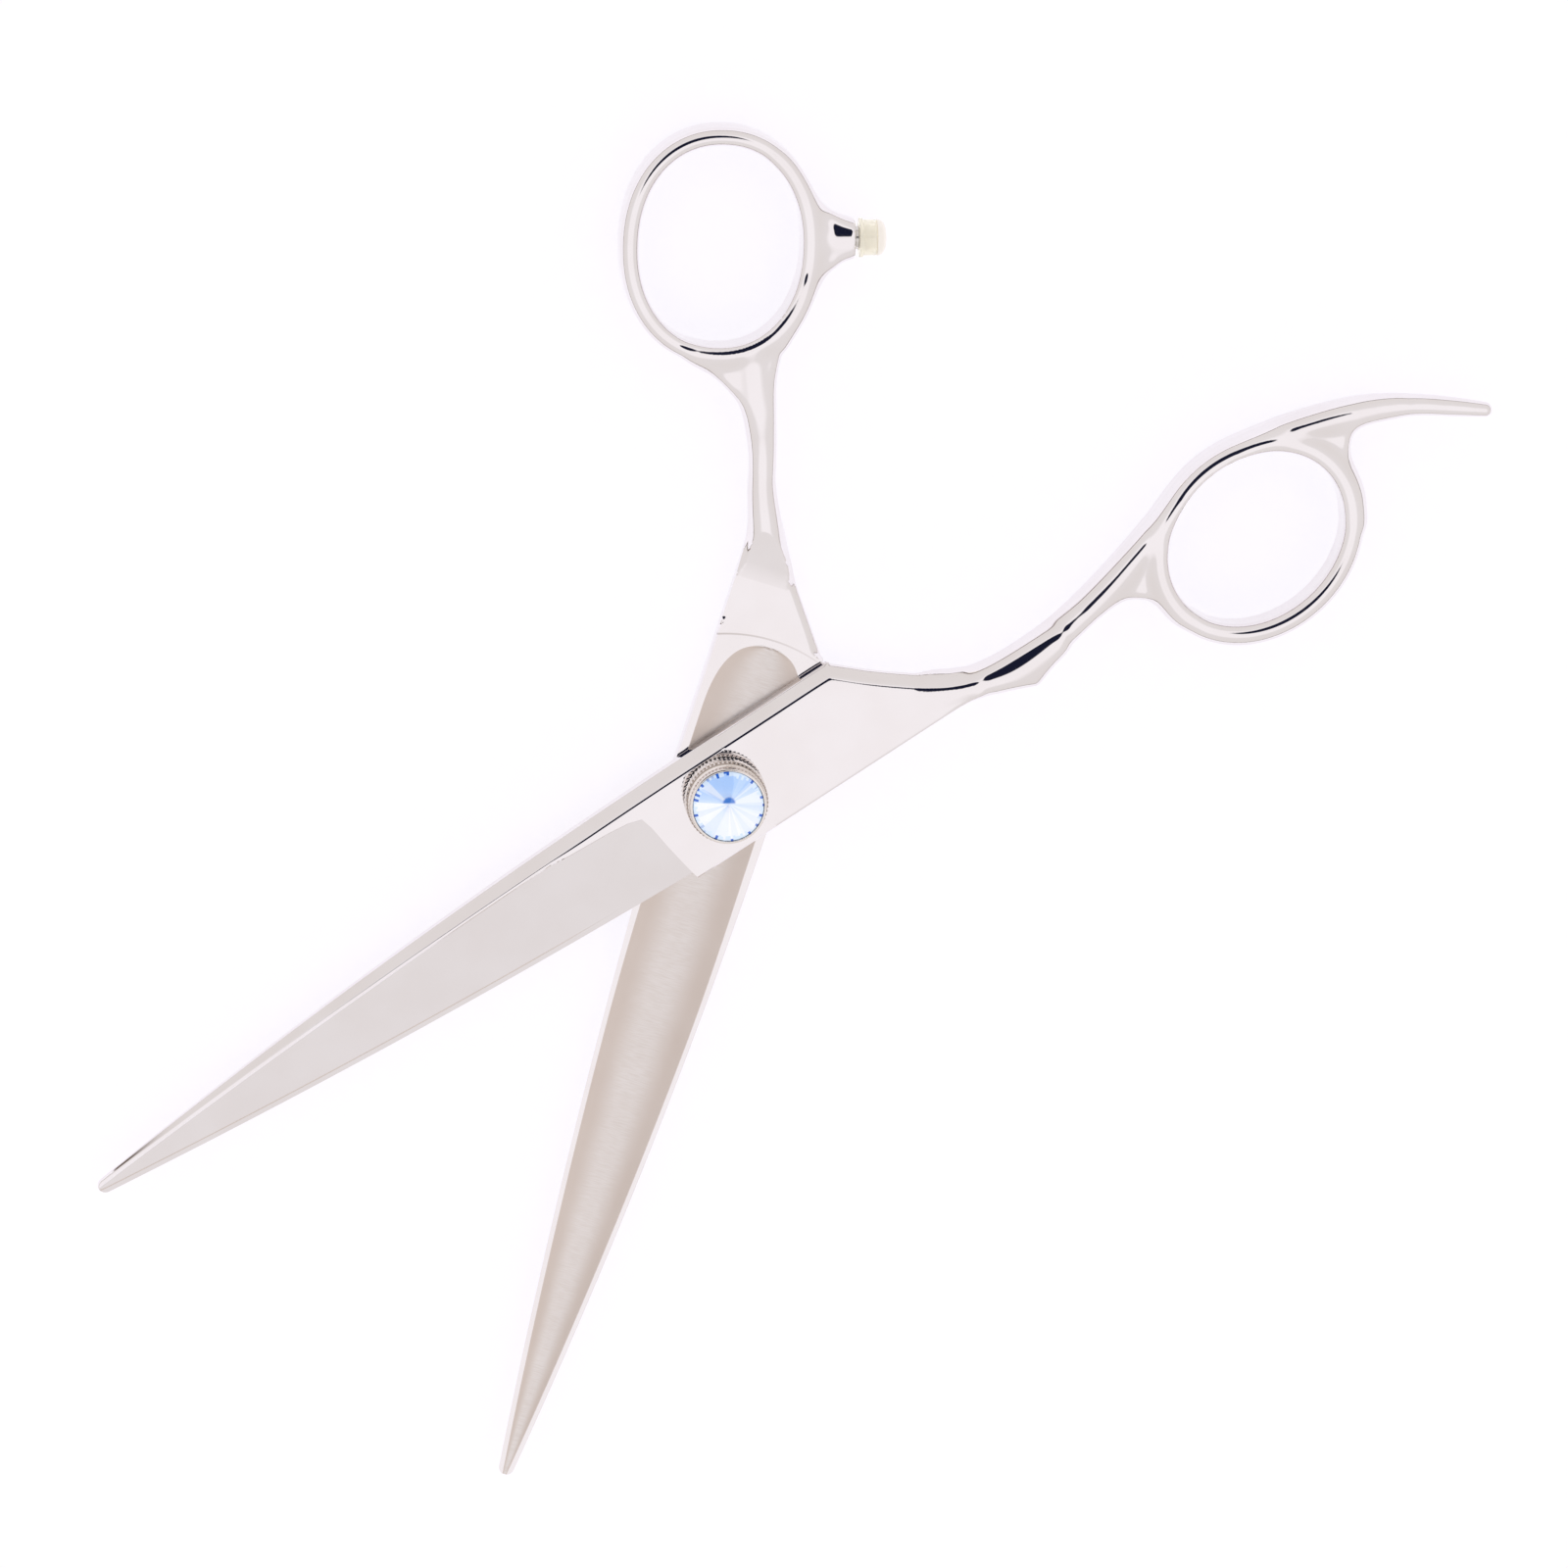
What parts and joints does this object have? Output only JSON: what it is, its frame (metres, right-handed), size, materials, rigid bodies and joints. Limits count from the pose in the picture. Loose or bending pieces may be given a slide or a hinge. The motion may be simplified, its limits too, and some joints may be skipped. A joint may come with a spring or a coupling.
{
  "type": "hair cutting shears",
  "caption": "Offset hair cutting shears in polished steel, with a crystal tension dial, a fixed finger rest and a soft bumper.",
  "frame": {"origin": "centre of the flat rear face of the pivot screw, on the axis that the blades turn about", "axes": "+X along the centre line of the open shears, from the pivot towards the blade tips; +Z out through the tension dial; +Y towards the finger ring"},
  "size_m": [0.1675, 0.0945, 0.012],
  "materials": {
    "polished_steel": "mirror-polished stainless steel with a satin-ground inner face",
    "screw_steel": "turned and polished",
    "bronze": "fine turned",
    "slide_plastic": "smooth low-friction plastic",
    "spring_steel": "bright spring steel",
    "dial_nickel": "nickel plate over knurled steel",
    "crystal": "cut pale blue glass with a mirrored back",
    "clear_sleeve": "clear, slightly yellow soft plastic",
    "ivory_bumper": "soft ivory plastic"
  },
  "bodies": {
    "finger_body": {"finger_half": "polished_steel", "pivot_screw": "screw_steel", "rear_washer": "bronze", "thrust_washer": "slide_plastic", "click_plate": "spring_steel", "spring_washer": "spring_steel"},
    "thumb_body": {"thumb_half": "polished_steel", "pivot_bushing": "bronze", "bumper_stud": "screw_steel", "bumper_sleeve": "clear_sleeve", "bumper_tip": "ivory_bumper"},
    "dial": {"dial_nut": "dial_nickel", "crystal": "crystal"}
  },
  "joints": [
    {"name": "blade_pivot", "type": "hinge", "parent": "finger_body", "child": "thumb_body", "pos_m": [0, 0, 0], "axis": [0, 0, 1], "range_deg": [-38.7, 70]},
    {"name": "tension_dial", "type": "hinge", "parent": "finger_body", "child": "dial", "pos_m": [0, 0, 0], "axis": [0, 0, 1], "range_deg": [-90, 90]}
  ]
}
